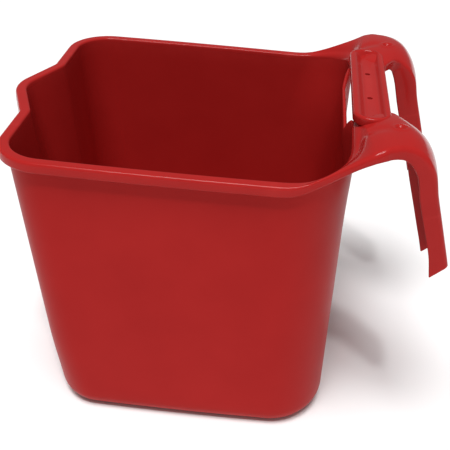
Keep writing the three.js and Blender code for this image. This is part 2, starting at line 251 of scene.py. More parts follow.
class TubPlan:
    """Outline of the near half of the tub at any height, station by station."""

    def __init__(self, tub, rim):
        self.half_length = HOOK_WALL_X
        self.wall = tub.wall / MM
        self.bow = tub.side_bow / MM
        self.overhang = rim.overhang / MM
        self.half_width = RIM_HALF_WIDTH - self.overhang - self.bow
        self.spout_lean = tub.spout_wall_lean / MM
        self.side_lean = tub.side_wall_lean / MM
        self.spout_corner = tub.spout_corner_base / MM, tub.spout_corner / MM
        self.hook_corner = [
            tub.hook_corner_base / MM, tub.hook_corner_middle / MM, tub.hook_corner_middle / MM,
            tub.hook_corner_top / MM, tub.hook_corner_top / MM,
        ]
        # Heights at which the hook corner has each of those radii
        self.hook_corner_at = [0, RIM_Z / 2, RIM_Z * 0.8, RIM_Z + 10, CREST_TOP_Z + 40]
        self.lobe_radius = tub.lobe_radius / MM
        self.notch_y = tub.notch_y / MM
        self.notch_radius = tub.notch_radius / MM
        self.lobe_foot = tub.lobe_foot / MM
        self.known = {}

    def outline(self, z):
        """Points on the outside of the wall at height z, and the directions outwards."""
        key = round(float(z), 3)
        if key not in self.known:
            points = self._lean(self._upright(z), z)
            along = np.gradient(points, axis=0)
            along[0] = (0, -1)
            along[-1] = (0, 1)
            outward = unit(np.stack([along[:, 1], -along[:, 0]], axis=1))
            self.known[key] = points, outward
        return self.known[key]

    def _upright(self, z):
        radius = float(through(self.hook_corner_at, self.hook_corner, np.array([z]))[0])
        end, side = self.half_length, self.half_width
        lobe_x = LIP_TIP_X + self.overhang + self.lobe_radius
        to_notch = np.array([-end - lobe_x, -self.notch_y])
        tangent = math.atan2(-self.notch_y, to_notch[0]) % math.tau
        tangent -= math.acos(self.lobe_radius / np.linalg.norm(to_notch))
        touch = np.array([lobe_x + self.lobe_radius * math.cos(tangent),
                          self.lobe_radius * math.sin(tangent)])
        notch = np.array([-end, -self.notch_y])
        corner = np.array([-end, -side])
        far_corner = np.array([end, -side])
        sweep = np.linspace(math.pi, tangent, STRETCHES["tip"])
        tip = np.stack([lobe_x + self.lobe_radius * np.cos(sweep),
                        self.lobe_radius * np.sin(sweep)], axis=1)
        bend = corner_arc(touch, notch, corner, self.notch_radius, STRETCHES["notch"])
        spout_r = mixed(*self.spout_corner, smooth(z, 0, RIM_Z * SPOUT_CORNER_EASE))
        turn = corner_arc(notch, corner, far_corner, spout_r, STRETCHES["spout_corner"])
        hook_end = np.array([end, 0.0])
        last = corner_arc(corner, far_corner, hook_end, radius, STRETCHES["hook_corner"])

        def straight(start, finish, count):
            share = np.linspace(0, 1, count + 2)[1:-1, None]
            return start * (1 - share) + finish * share

        wall = straight(last[-1], hook_end, STRETCHES["hook_wall"])
        return np.concatenate([
            tip, straight(tip[-1], bend[0], STRETCHES["lobe_side"]), bend,
            straight(bend[-1], turn[0], STRETCHES["spout_wall"]), turn,
            straight(turn[-1], last[0], STRETCHES["long_side"]), last, wall, [hook_end],
        ])

    def _lean(self, points, z):
        """Leans the walls in towards the floor, bows the sides and fades the lobe out."""
        end = self.half_length
        below = max(0.0, 1 - z / RIM_Z)
        lobe = float(np.clip((z - self.lobe_foot) / (RIM_Z - self.lobe_foot), 0, 1))
        x, y = points[:, 0].copy(), points[:, 1].copy()
        y *= 1 + self.bow / self.half_width * (1 - (x / end) ** 2)
        x = np.where(x < -end, -end + (x + end) * lobe, x)
        x += self.spout_lean * below * (end - x) / (2 * end)
        y *= 1 - self.side_lean * below / self.half_width
        return np.stack([x, y], axis=1)

    def at(self, heights, inset):
        """Points on the stations, each at its own height and set in from the outside."""
        count = len(self.outline(RIM_Z)[0])
        heights = np.broadcast_to(np.asarray(heights, float), (count,))
        inset = np.broadcast_to(np.asarray(inset, float), (count,))
        points = np.empty((count, 3))
        for i, (z, d) in enumerate(zip(heights, inset)):
            place, outward = self.outline(z)
            points[i, :2] = place[i] - outward[i] * d
            points[i, 2] = z
        dish = HAND_DISH * smooth(points[:, 2], RIM_Z - HAND_DISH_HEIGHT, RIM_Z)
        dish = dish * (1 - smooth(np.abs(points[:, 1]), *HAND_DISH_EASE))
        points[:, 0] -= np.where(points[:, 0] > HOOK_WALL_X / 2, dish, 0)
        return points

    def outward(self):
        flat = self.outline(RIM_Z)[1]
        return np.concatenate([flat, np.zeros((len(flat), 1))], axis=1)


# ---- Lip, arm and hook -------------------------------------------------------------------

# Sections of one hook, from where its arm leaves the rim to its toe, in millimetres on the
# far side. `along` runs on the mouth's edge as far as the grip, and down the hook from there.
# Each section has its outer edge, its inner edge, the depths of its two turned edges and how
# far its middle is crowned. While the arm follows the mouth only the inner edge's height is
# given, because the tub's plan gives the rest.
Section = namedtuple("Section", "along outer inner skirt flange crown")
GRIP_CORNER_ALONG = 91
SECTIONS = [Section(*row) for row in [
    # along  outer x, y, z          inner x, y, z         skirt  flange  crown
    (-30, (50.0, 129.4, 240.0), (0, 0, 240.0), 8.0, 4, 0.0),
    (-12, (68.0, 129.0, 240.0), (0, 0, 240.0), 8.0, 4, 0.0),
    (0, (80.0, 128.5, 240.4), (0, 0, 240.2), 7.9, 4, 0.0),
    (12, (89.0, 127.4, 242.0), (0, 0, 241.6), 7.5, 4, 0.1),
    (30, (103.0, 124.2, 248.0), (0, 0, 246.8), 6.6, 4, 0.3),
    (46, (116.0, 121.0, 255.0), (0, 0, 251.2), 6.0, 4, 0.8),
    (61, (126.0, 119.2, 260.3), (0, 0, 255.2), 6.0, 4, 1.2),
    (70, (131.0, 118.8, 263.0), (0, 0, 257.4), 6.3, 4, 1.5),
    (GRIP_CORNER_ALONG, (138.0, 117.8, 266.7), (0, 0, 261.2), 7.2, 4, 2.2),
    (101, (143.5, 115.9, 268.6), (131.0, 54.0, 263.6), 8.0, 5, 3.0),
    (111, (148.5, 113.4, 269.2), (141.0, 49.6, 265.4), 8.4, 6, 3.2),
    (121, (153.0, 112.0, 269.4), (150.5, 46.8, 265.8), 8.8, 7, 3.2),
    (128, (157.8, 110.6, 268.9), (155.0, 52.0, 266.3), 9.2, 8, 3.6),
    (135, (162.5, 109.9, 267.6), (160.2, 59.4, 265.8), 9.8, 9.5, 4.2),
    (143, (168.4, 109.2, 264.5), (166.8, 63.6, 263.2), 10.6, 12, 4.0),
    (152, (174.6, 108.6, 258.6), (174.0, 64.2, 258.0), 11.6, 15.5, 2.9),
    (163, (180.2, 107.8, 250.0), (180.2, 64.4, 249.8), 12.6, 17.8, 1.8),
    (183, (186.0, 106.8, 230.0), (186.0, 64.6, 230.0), 13.2, 18, 0.9),
    (210, (194.0, 105.6, 204.2), (194.0, 64.9, 204.2), 13.2, 18, 0.7),
    (227, (199.0, 104.9, 188.0), (199.0, 65.1, 188.0), 13.2, 18, 0.6),
    (237, (202.0, 104.5, 178.5), (202.0, 65.2, 178.5), 14.4, 18, 0.4),
    (244, (204.0, 104.3, 171.8), (204.0, 65.3, 171.8), 15.2, 18, 0.2),
]]
KNOTS = [section.along for section in SECTIONS]
CLIMB_START_X = 80.0  # where the arm starts to climb, at along 0
ROOT_BEFORE = 8  # the rim's pieces end this far before the climb
HOOK_STEP = 1.0  # distance between the rows of the hook beyond the grip
TOE_SHEAR = 0.46  # the toe's end slants, the inner edges running on past the heel

SKIRT_DRAFT = 0.04  # outward slope of the turned-down edge
LEAD = 10.0  # how far a section leaves the mouth's edge squarely before it turns to the arm
COLUMNS = 56  # points across the top of a section

# The round dimple on each crest, and the shallow valley beside the grip's end
DIMPLE_X, DIMPLE_Y, DIMPLE_RADIUS = 154.0, 82.0, 4.4
DIMPLE_FLOOR, DIMPLE_DEPTH = 1.2, 2.0
RING_HEIGHT, RING_WIDTH = 0.5, 1.3
VALLEY_Y, VALLEY_HALF_WIDTH, VALLEY_DEPTH = 84.0, 5.0, 0.7
VALLEY_STARTS, VALLEY_ENDS = (120, 134), (142, 153)
LEVEL = 0.01  # a point this little below the top counts as part of the top

# Stretches of `along` over which the sections change from the rim's form to the hook's
ARM_TAKES_OVER = (-30, 12)
SKIRT_TURNS = (15, 60)
FLANGE_TURNS = (GRIP_CORNER_ALONG, GRIP_CORNER_ALONG + 30)
LEAD_FADES = (GRIP_CORNER_ALONG, 132)
START_TURNS = (GRIP_CORNER_ALONG, 105)
SHOULDER_GROWS = (5, 50)
CREST_EDGE_GROWS = (20, 90)
HOOK_EDGE_SETS_IN = (GRIP_CORNER_ALONG, 125)
FLANGE_THINS = (100, 140)
TOE_SLANTS = (195, 244)

HOOK_EDGE_RADIUS = 2.2  # rounding of the hook's inner edge
CREST_EDGE_RADIUS = 3.4  # rounding of the hook's outer edge
EDGE_LIMITS = (0.3, 0.4)  # largest roundings as shares of a section's width
FILLET = 1.2  # between the strap's underside and its turned edge
FLANGE_EXTRA = 0.3  # how much thicker the hook's inner edge is than its outer one
FLAT_FOOT = 0.02  # share of rounding where a foot meets the tub's wall squarely
EDGE_STEPS, BEAD_STEPS, HANG_STEPS = 6, 7, 8


def pressed(points):
    """How far the strap's top is pressed in at each point."""
    x, y = points[:, 0], np.abs(points[:, 1])
    away = np.hypot(x - DIMPLE_X, y - DIMPLE_Y)
    ring = RING_HEIGHT * np.exp(-(((away - DIMPLE_RADIUS) / RING_WIDTH) ** 2))
    dimple = DIMPLE_DEPTH * (1 - smooth(away, DIMPLE_FLOOR, DIMPLE_RADIUS)) - ring
    valley = VALLEY_DEPTH * np.exp(-(((y - VALLEY_Y) / VALLEY_HALF_WIDTH) ** 2))
    valley = valley * smooth(x, *VALLEY_STARTS) * (1 - smooth(x, *VALLEY_ENDS))
    return dimple + valley


class MouthStrip:
    """Rows of edges from the middle of the spout round the rim, up the arm and to the toe."""

    def __init__(self, plan, rim):
        self.plan = plan
        self.rim = rim
        base = plan.outline(RIM_Z)[0] - plan.outline(RIM_Z)[1] * plan.wall
        step = np.linalg.norm(np.diff(base, axis=0), axis=1)
        run = np.concatenate([[0], np.cumsum(step)])
        root = int(np.argmax(base[:, 0] > CLIMB_START_X))
        along = run - run[root]
        self.corner = int(np.argmin(np.abs(along - GRIP_CORNER_ALONG)))
        self.root = int(np.argmin(np.abs(along + ROOT_BEFORE)))
        along = along * GRIP_CORNER_ALONG / along[self.corner]
        heights = [section.inner[2] for section in SECTIONS]
        inner_z = through(KNOTS, heights, np.clip(along, KNOTS[0], None))
        self.mouth_z = np.where(along < KNOTS[0], RIM_Z, inner_z)
        beyond = np.arange(GRIP_CORNER_ALONG, KNOTS[-1], HOOK_STEP)[1:]
        self.along = np.concatenate([along[: self.corner + 1], beyond, [KNOTS[-1]]])
        self.count = len(self.along)
        self._edges()

    def _table(self, column):
        """One column of the table of sections, at every row."""
        places = np.clip(self.along, KNOTS[0], None)
        return through(KNOTS, [getattr(section, column) for section in SECTIONS], places)

    def _edges(self):
        plan, tubs = self.plan, self.corner + 1
        side = np.array([1, -1, 1])
        mouth = plan.at(self.mouth_z, plan.wall)[:tubs]
        inner = self._table("inner") * side
        grip = mouth[-1]
        beyond = [section for section in SECTIONS if section.along > GRIP_CORNER_ALONG]
        knots = [GRIP_CORNER_ALONG] + [section.along for section in beyond]
        values = [grip] + [np.array(section.inner) * side for section in beyond]
        inner[tubs:] = through(knots, values, self.along[tubs:])
        inner[:tubs] = mouth
        outer = self._table("outer") * side
        lip = plan.at(RIM_Z, SKIRT_DRAFT * self.rim.skirt_depth / MM - plan.overhang)[:tubs]
        share = smooth(self.along[:tubs], *ARM_TAKES_OVER)[:, None]
        outer[:tubs] = mixed(lip, outer[:tubs], share)
        self.inner, self.outer = inner, outer
        self.skirt = self._table("skirt")
        self.flange = self._table("flange")
        self.crown = self._table("crown")
        self.skirt[self.along < 0] = self.rim.skirt_depth / MM
        self._directions(tubs)

    def _directions(self, tubs):
        plan = self.plan
        path = np.gradient(self.outer, axis=0)
        path[:, 1] = 0
        path = unit(path)
        turned = np.stack([path[:, 2], np.zeros(self.count), -path[:, 0]], axis=1)
        plumb = np.array([0.0, 0.0, -1.0])
        share = smooth(self.along, *SKIRT_TURNS)[:, None]
        self.down_outer = unit(mixed(plumb, turned, share))
        seam = plan.at(self.mouth_z - self.flange_depth_on_tub(), plan.wall)[:tubs]
        down = np.tile(plumb, (self.count, 1))
        down[:tubs] = unit(seam - self.inner[:tubs])
        share = smooth(self.along, *FLANGE_TURNS)[:, None]
        self.down_inner = unit(mixed(down, self.down_outer, share))
        wall_out = np.tile(plan.outward()[tubs - 1], (self.count, 1))
        wall_out[:tubs] = plan.outward()[:tubs]
        reach = (self.outer - self.inner) / 3
        lead = np.minimum(np.linalg.norm(reach, axis=1), LEAD)[:, None]
        share = smooth(self.along, *LEAD_FADES)[:, None]
        self.first = self.inner + mixed(wall_out * lead, reach, share)
        share = smooth(self.along, *START_TURNS)[:, None]
        self.start = unit(mixed(wall_out, unit(reach), share))

    def flange_depth_on_tub(self):
        return SECTIONS[0].flange

    def leg_direction(self, i):
        """Down the leg at row i, square to its turned edges."""
        down = self.down_outer[i]
        way = np.array([-down[2], 0, down[0]])
        return way if way[2] < 0 else -way

    def row(self, i):
        """Closed section of the strip at row i, from the flange's foot over the top."""
        rim = self.rim
        inner, outer = self.inner[i], self.outer[i]
        down_in, down_out = self.down_inner[i], self.down_outer[i]
        width = np.linalg.norm(outer - inner)
        on_tub = i <= self.corner
        first = self.first[i]
        lead = np.linalg.norm(first - inner)
        third = outer + (inner - outer) / 3

        def curve(v):
            v = np.asarray(v, float)[:, None]
            w = 1 - v
            return w ** 3 * inner + 3 * w * w * v * first + 3 * w * v * v * third + v ** 3 * outer

        outward = unit(outer - third)
        outward = unit(outward - down_out * (outward @ down_out))
        inward = unit(self.start[i] - down_in * (self.start[i] @ down_in))
        along = self.along[i]
        mouth_r = mixed(rim.mouth_radius, rim.shoulder_radius, smooth(along, *SHOULDER_GROWS)) / MM
        mouth_r = mixed(mouth_r, HOOK_EDGE_RADIUS, smooth(along, *HOOK_EDGE_SETS_IN))
        outer_r = mixed(rim.outer_radius / MM, CREST_EDGE_RADIUS, smooth(along, *CREST_EDGE_GROWS))
        mouth_r = min(mouth_r, width * EDGE_LIMITS[0])
        outer_r = min(outer_r, width * EDGE_LIMITS[1])

        angles = np.linspace(0, math.pi / 2, EDGE_STEPS)
        near_in = mouth_r * (1 - np.cos(angles))
        near_out = outer_r * (1 - np.cos(angles[::-1]))
        v_in = near_in / (3 * lead)
        v_out = 1 - near_out / width
        middle = np.linspace(v_in[-1], v_out[0], COLUMNS)[1:-1]
        v = np.concatenate([v_in, middle, v_out])
        sink = np.concatenate([
            mouth_r * (1 - np.sin(angles)), np.zeros(len(middle)), outer_r * (1 - np.sin(angles[::-1]))
        ])
        falling = unit(mixed(down_in, down_out, v[:, None]))
        crown = self.crown[i] * 4 * v * (1 - v)
        top = curve(v)
        top = top + falling * (sink - crown + pressed(top) * (sink < LEVEL))[:, None]

        wall = self.plan.wall
        skirt, flange = self.skirt[i], self.flange[i]
        thick = rim.skirt_thickness / MM
        bead = thick / 2
        turn = np.linspace(0, math.pi, BEAD_STEPS)[:, None]
        foot = outer + down_out * (skirt - bead) - outward * bead + outward * SKIRT_DRAFT * skirt
        skirt_foot = foot + outward * bead * np.cos(turn) + down_out * bead * np.sin(turn)
        skirt_root = (outer + down_out * (wall + FILLET) - outward * thick)[None]
        back = wall if on_tub else mixed(wall, thick + FLANGE_EXTRA, smooth(along, *FLANGE_THINS))
        hang = np.linspace(0, 1, HANG_STEPS)
        from_v, to_v = back / (3 * lead), 1 - (thick + FILLET) / width
        v_under = mixed(to_v, from_v, hang)
        falling = unit(mixed(down_in, down_out, v_under[:, None]))
        lift = self.crown[i] * 4 * v_under * (1 - v_under)
        under = curve(v_under) + falling * (wall - lift)[:, None]
        under[-1] = inner + down_in * wall + inward * back
        round_foot = bead * (FLAT_FOOT if on_tub else 1)
        half_back = back / 2
        foot_middle = inner + down_in * (flange - round_foot) + inward * half_back
        flange_foot = foot_middle + inward * half_back * np.cos(turn) + down_in * round_foot * np.sin(turn)
        return np.concatenate([top, skirt_foot, skirt_root, under, flange_foot])


def add_strip_piece(name, strip, side, first, last):
    """One stretch of the strip as a capped solid, on the near or the far side."""
    rows = np.array([strip.row(i) for i in range(first, last + 1)])
    reach = smooth(strip.along[first:last + 1], *TOE_SLANTS) * TOE_SHEAR
    for r, row in enumerate(rows):
        if reach[r] > 0:
            i = first + r
            depth = (row - strip.outer[i]) @ strip.down_outer[i]
            rows[r] = row + strip.leg_direction(i) * (np.clip(depth, 0, None) * reach[r])[:, None]
    rows[:, :, 1] *= -side
    return loft(name, rows)


def finish_piece(piece, material, *nodes):
    piece.data.materials.clear()
    piece.data.materials.append(material)
    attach(piece, BODY)
    if nodes:
        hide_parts(*nodes)


# ---- Tub ---------------------------------------------------------------------------------

FLOOR_SEAM = 15.0  # the floor's flat disc ends this far inside the wall's outside
HAND_GAP_RISE = 6.0  # the hand gap's floor above the rim
HAND_GAP_EASE = (38.0, 50.0)  # where the wall's top drops from the grip's end to the hand gap
ROUND_STEPS, WALL_STEPS, TOP_STEPS = 8, 26, 7


def shell_rows(plan, strip, tub):
    """Closed wall sections at the near half's stations, from the floor's seam and back."""
    count = len(plan.outline(RIM_Z)[0])
    wall = plan.wall
    seam = strip.mouth_z - strip.flange_depth_on_tub()
    beyond = np.arange(count) > strip.corner
    y = np.abs(plan.outline(RIM_Z)[0][:, 1])
    corner_top = seam[strip.corner]
    gap_top = mixed(RIM_Z + HAND_GAP_RISE - wall / 2, corner_top, smooth(y, *HAND_GAP_EASE))
    top = np.where(beyond, gap_top, seam)
    round_top = np.where(beyond, wall / 2, 0.0)
    inner_r, outer_r = tub.inner_base_radius / MM, tub.base_radius / MM
    quarter = np.linspace(0, math.pi / 2, ROUND_STEPS)
    rows = [plan.at(wall, FLOOR_SEAM)]
    for angle in quarter:
        inset = wall + inner_r * (1 - math.sin(angle))
        rows.append(plan.at(wall + inner_r * (1 - math.cos(angle)), inset))
    for share in np.linspace(0, 1, WALL_STEPS)[1:]:
        rows.append(plan.at(mixed(wall + inner_r, top, share), wall))
    for angle in np.linspace(0, math.pi, TOP_STEPS)[1:-1]:
        inset = wall / 2 * (1 + math.cos(angle))
        rows.append(plan.at(top, inset) + np.outer(round_top * math.sin(angle), (0, 0, 1)))
    for share in np.linspace(1, 0, WALL_STEPS)[:-1]:
        rows.append(plan.at(mixed(outer_r, top, share), 0))
    for angle in quarter:
        inset = outer_r * (1 - math.cos(angle))
        rows.append(plan.at(outer_r * (1 - math.sin(angle)), inset))
    rows.append(plan.at(0, FLOOR_SEAM))
    return np.stack(rows, axis=1)


def mirrored(near):
    """Near half stations followed by the far half's, back to the spout."""
    far = near[::-1][1:-1] * np.array([1, -1, 1])
    return np.concatenate([near, far])


def add_tub_shell(plan, strip, tub):
    rows = mirrored(shell_rows(plan, strip, tub))
    return loft("tub_shell_wall", rows, joined_ends=True)


def add_tub_floor(plan):
    """Flat disc inside the wall's rounded foot."""
    under = mirrored(plan.at(0, FLOOR_SEAM))
    over = mirrored(plan.at(plan.wall, FLOOR_SEAM))
    return loft("tub_floor_disc", [under, over])


# ---- Carry grip --------------------------------------------------------------------------

PAD_THICKNESS = 8.0
PAD_EDGE = 2.2  # rounding of the pad's outer edges
PAD_FOOT = 3  # how far the flat underside is set in
LIP_FLAT = 0.6  # flat top of the raised lip
LIP_ROUND = 1.4  # how far the channel's slopes reach into the lip
END_SLOPE = 3.4  # length of the channel's slope at each end
END_TIGHTENS = 2  # how much smaller the channel's end radius is at its floor
ARC_GAP = 0.01  # keeps the two arcs of a rounded end just apart
BOTTOM_STEPS, EDGE_TURN_STEPS, CORNER_STEPS, SLOPE_STEPS = 5, 6, 12, 9


def stadium(low_x, high_x, half_y, radius, z):
    """Loop with round ends, anticlockwise from the middle of the hook side."""
    radius = min(radius, (high_x - low_x) / 2 - ARC_GAP)
    corners = [
        (high_x, half_y, 0), (low_x, half_y, 1), (low_x, -half_y, 2), (high_x, -half_y, 3),
    ]
    points = []
    for x, y, turn in corners:
        centre_x = x - radius if x == high_x else x + radius
        centre_y = y - math.copysign(radius, y)
        for share in np.linspace(0, 1, CORNER_STEPS):
            angle = (turn + share) * math.pi / 2
            points.append((centre_x + radius * math.cos(angle), centre_y + radius * math.sin(angle), z))
    return points


def add_grip(grip):
    """The pad as a stack of loops: underside, side, raised lip, slopes and channel floor."""
    low, high = GRIP_LOW_X - grip.shift / MM, GRIP_HIGH_X - grip.shift / MM
    half, end_r = grip.pad_half_length / MM, grip.end_radius / MM
    lip, depth = grip.lip / MM, grip.channel_depth / MM
    steep, gentle = grip.steep_slope / MM, grip.gentle_slope / MM
    top, bottom = GRIP_TOP_Z, GRIP_TOP_Z - PAD_THICKNESS

    def set_in(inset, z):
        return stadium(low + inset, high - inset, half - inset, end_r - inset, z)

    loops = [set_in(PAD_FOOT, bottom)]
    for angle in np.linspace(0, math.pi / 2, BOTTOM_STEPS):
        z = bottom + PAD_EDGE * (1 - math.cos(angle))
        loops.append(set_in(PAD_EDGE * (1 - math.sin(angle)), z))
    for angle in np.linspace(0, math.pi / 2, EDGE_TURN_STEPS):
        z = top - PAD_EDGE * (1 - math.sin(angle))
        loops.append(set_in(PAD_EDGE * (1 - math.cos(angle)), z))
    loops.append(set_in(PAD_EDGE + LIP_FLAT, top))
    for share in np.linspace(0, 1, SLOPE_STEPS):
        x_low = low + lip - LIP_ROUND + (steep + LIP_ROUND) * share
        x_high = high - lip + LIP_ROUND - (gentle + LIP_ROUND) * share
        end = half - lip + LIP_ROUND - END_SLOPE * share
        z = top - depth * float(smooth(share, 0, 1))
        loops.append(stadium(x_low, x_high, end, end_r - lip - share * END_TIGHTENS, z))
    return loft("carry_grip_pad", loops)


DRILL_SIDES = 24
DRILL_LENGTH = 30 * MM


def drain_drills():
    """Geometry Nodes tree that cuts an evenly spaced row of round holes through a piece."""
    tree = bpy.data.node_groups.new("Drain Holes", "GeometryNodeTree")
    face = tree.interface
    face.new_socket("Geometry", in_out="INPUT", socket_type="NodeSocketGeometry")
    inputs = {}
    for name, kind in [("Count", "Int"), ("Spacing", "Float"), ("Diameter", "Float"),
                       ("Place", "Vector"), ("Material", "Material")]:
        inputs[name] = face.new_socket(name, in_out="INPUT", socket_type=f"NodeSocket{kind}")
    face.new_socket("Geometry", in_out="OUTPUT", socket_type="NodeSocketGeometry")
    nodes, links = tree.nodes, tree.links
    given = nodes.new("NodeGroupInput")
    out = nodes.new("NodeGroupOutput")
    line = nodes.new("GeometryNodeMeshLine")
    step = nodes.new("ShaderNodeCombineXYZ")
    links.new(given.outputs["Spacing"], step.inputs["Y"])
    links.new(given.outputs["Count"], line.inputs["Count"])
    links.new(given.outputs["Place"], line.inputs["Start Location"])
    links.new(step.outputs[0], line.inputs["Offset"])
    radius = nodes.new("ShaderNodeMath")
    radius.operation = "MULTIPLY"
    radius.inputs[1].default_value = 0.5
    links.new(given.outputs["Diameter"], radius.inputs[0])
    drill = nodes.new("GeometryNodeMeshCylinder")
    drill.inputs["Vertices"].default_value = DRILL_SIDES
    drill.inputs["Depth"].default_value = DRILL_LENGTH
    links.new(radius.outputs[0], drill.inputs["Radius"])
    row = nodes.new("GeometryNodeInstanceOnPoints")
    links.new(line.outputs["Mesh"], row.inputs["Points"])
    links.new(drill.outputs["Mesh"], row.inputs["Instance"])
    real = nodes.new("GeometryNodeRealizeInstances")
    links.new(row.outputs["Instances"], real.inputs["Geometry"])
    cut = nodes.new("GeometryNodeMeshBoolean")
    cut.operation = "DIFFERENCE"
    links.new(given.outputs["Geometry"], cut.inputs["Mesh 1"])
    links.new(real.outputs["Geometry"], cut.inputs["Mesh 2"])
    paint = nodes.new("GeometryNodeSetMaterial")
    links.new(cut.outputs["Mesh"], paint.inputs["Geometry"])
    links.new(given.outputs["Material"], paint.inputs["Material"])
    links.new(paint.outputs["Geometry"], out.inputs[0])
    return tree, {name: socket.identifier for name, socket in inputs.items()}


def drill_grip(pad, grip, material):
    tree, sockets = drain_drills()
    modifier = pad.modifiers.new("Drain Holes", "NODES")
    modifier.node_group = tree
    modifier[sockets["Count"]] = 2
    modifier[sockets["Spacing"]] = grip.hole_spacing
    modifier[sockets["Diameter"]] = grip.hole_diameter
    middle_x = (GRIP_LOW_X + GRIP_HIGH_X) / 2 * MM - grip.shift
    place = (middle_x, -grip.hole_spacing / 2, GRIP_TOP_Z * MM)
    modifier[sockets["Place"]] = place
    modifier[sockets["Material"]] = material
    shown = bpy.context.evaluated_depsgraph_get()
    mesh = bpy.data.meshes.new_from_object(pad.evaluated_get(shown))
    pad.modifiers.remove(modifier)
    pad.data = mesh
    mesh.shade_smooth()
    mesh.set_sharp_from_angle(angle=SHARP_ANGLE)


# ---- Toe plate ---------------------------------------------------------------------------

TOE_PLATE_BACK = (0.6, 3.2)  # its two faces, up the leg from the toe
TOE_PLATE_DEPTHS = (1.5, 12.0)  # its two long edges, below the leg's outer face
TOE_PLATE_SIDE = 0.6  # how far its ends reach into the turned edges, as a share of them


def add_toe_plate(name, strip, side):
    """Plate that closes the leg's channel between its turned edges."""
    i = strip.count - 1
    down, way = strip.down_outer[i], strip.leg_direction(i)
    outer, inner = strip.outer[i], strip.inner[i]
    across = unit(outer - inner)
    width = np.linalg.norm(outer - inner)
    side_gap = strip.rim.skirt_thickness / MM * TOE_PLATE_SIDE
    near, far = TOE_PLATE_DEPTHS
    rows = []
    for back in TOE_PLATE_BACK:
        loop = []
        for depth, share in [(near, 0), (near, 1), (far, 1), (far, 0)]:
            place = inner + across * (side_gap + (width - 2 * side_gap) * share) + down * depth
            loop.append(place + way * (depth * TOE_SHEAR - back))
        rows.append(loop)
    rows = np.array(rows)
    rows[:, :, 1] *= -side
    return loft(name, rows)


# ---- Materials ---------------------------------------------------------------------------


def link(tree, source, target):
    tree.links.new(source, target)


def moulded_skin_group():
    """Tone, gloss and fine relief of moulded plastic, as values over the surface."""
    tree = bpy.data.node_groups.new("Moulded Skin", "ShaderNodeTree")
    face = tree.interface
    for name, value in [("Mottle Scale", 22.0), ("Grain Scale", 900.0), ("Flow Scale", 60.0)]:
        face.new_socket(name, in_out="INPUT", socket_type="NodeSocketFloat").default_value = value
    for name in ("Tone", "Gloss", "Height"):
        face.new_socket(name, in_out="OUTPUT", socket_type="NodeSocketFloat")
    nodes = tree.nodes
    given, out = nodes.new("NodeGroupInput"), nodes.new("NodeGroupOutput")
    place = nodes.new("ShaderNodeTexCoord")

    def noise(scale, detail, roughness):
        node = nodes.new("ShaderNodeTexNoise")
        link(tree, place.outputs["Object"], node.inputs["Vector"])
        link(tree, given.outputs[scale], node.inputs["Scale"])
        node.inputs["Detail"].default_value = detail
        node.inputs["Roughness"].default_value = roughness
        return node

    mottle = noise("Mottle Scale", 4.0, 0.55)
    grain = noise("Grain Scale", 2.0, 0.5)
    flow = noise("Flow Scale", 3.0, 0.6)
    tone = nodes.new("ShaderNodeMapRange")
    tone.inputs["From Min"].default_value = 0.3
    tone.inputs["From Max"].default_value = 0.7
    link(tree, mottle.outputs["Fac"], tone.inputs["Value"])
    link(tree, tone.outputs["Result"], out.inputs["Tone"])
    link(tree, flow.outputs["Fac"], out.inputs["Gloss"])
    soft = nodes.new("ShaderNodeMath")
    soft.operation = "MULTIPLY_ADD"
    soft.inputs[1].default_value = 0.35
    link(tree, grain.outputs["Fac"], soft.inputs[0])
    link(tree, flow.outputs["Fac"], soft.inputs[2])
    link(tree, soft.outputs["Value"], out.inputs["Height"])
    return tree


def rubbed_edge_group():
    """Where hands, rails and the ground have rubbed: a broken mask on the raised edges."""
    tree = bpy.data.node_groups.new("Rubbed Edges", "ShaderNodeTree")
    face = tree.interface
    for name, value in [("Break-up Scale", 120.0), ("Amount", 0.5)]:
        face.new_socket(name, in_out="INPUT", socket_type="NodeSocketFloat").default_value = value
    face.new_socket("Mask", in_out="OUTPUT", socket_type="NodeSocketFloat")
    nodes = tree.nodes
    given, out = nodes.new("NodeGroupInput"), nodes.new("NodeGroupOutput")
    shape = nodes.new("ShaderNodeNewGeometry")
    edge = nodes.new("ShaderNodeMapRange")
    edge.inputs["From Min"].default_value = 0.51
    edge.inputs["From Max"].default_value = 0.60
    link(tree, shape.outputs["Pointiness"], edge.inputs["Value"])
    place = nodes.new("ShaderNodeTexCoord")
    broken = nodes.new("ShaderNodeTexNoise")
    broken.inputs["Detail"].default_value = 5.0
    link(tree, place.outputs["Object"], broken.inputs["Vector"])
    link(tree, given.outputs["Break-up Scale"], broken.inputs["Scale"])
    both = nodes.new("ShaderNodeMath")
    both.operation = "MULTIPLY"
    link(tree, edge.outputs["Result"], both.inputs[0])
    link(tree, broken.outputs["Fac"], both.inputs[1])
    scaled = nodes.new("ShaderNodeMath")
    scaled.operation = "MULTIPLY"
    scaled.use_clamp = True
    link(tree, both.outputs["Value"], scaled.inputs[0])
    link(tree, given.outputs["Amount"], scaled.inputs[1])
    link(tree, scaled.outputs["Value"], out.inputs["Mask"])
    return tree


def shared_group(name, build):
    return bpy.data.node_groups.get(name) or build()


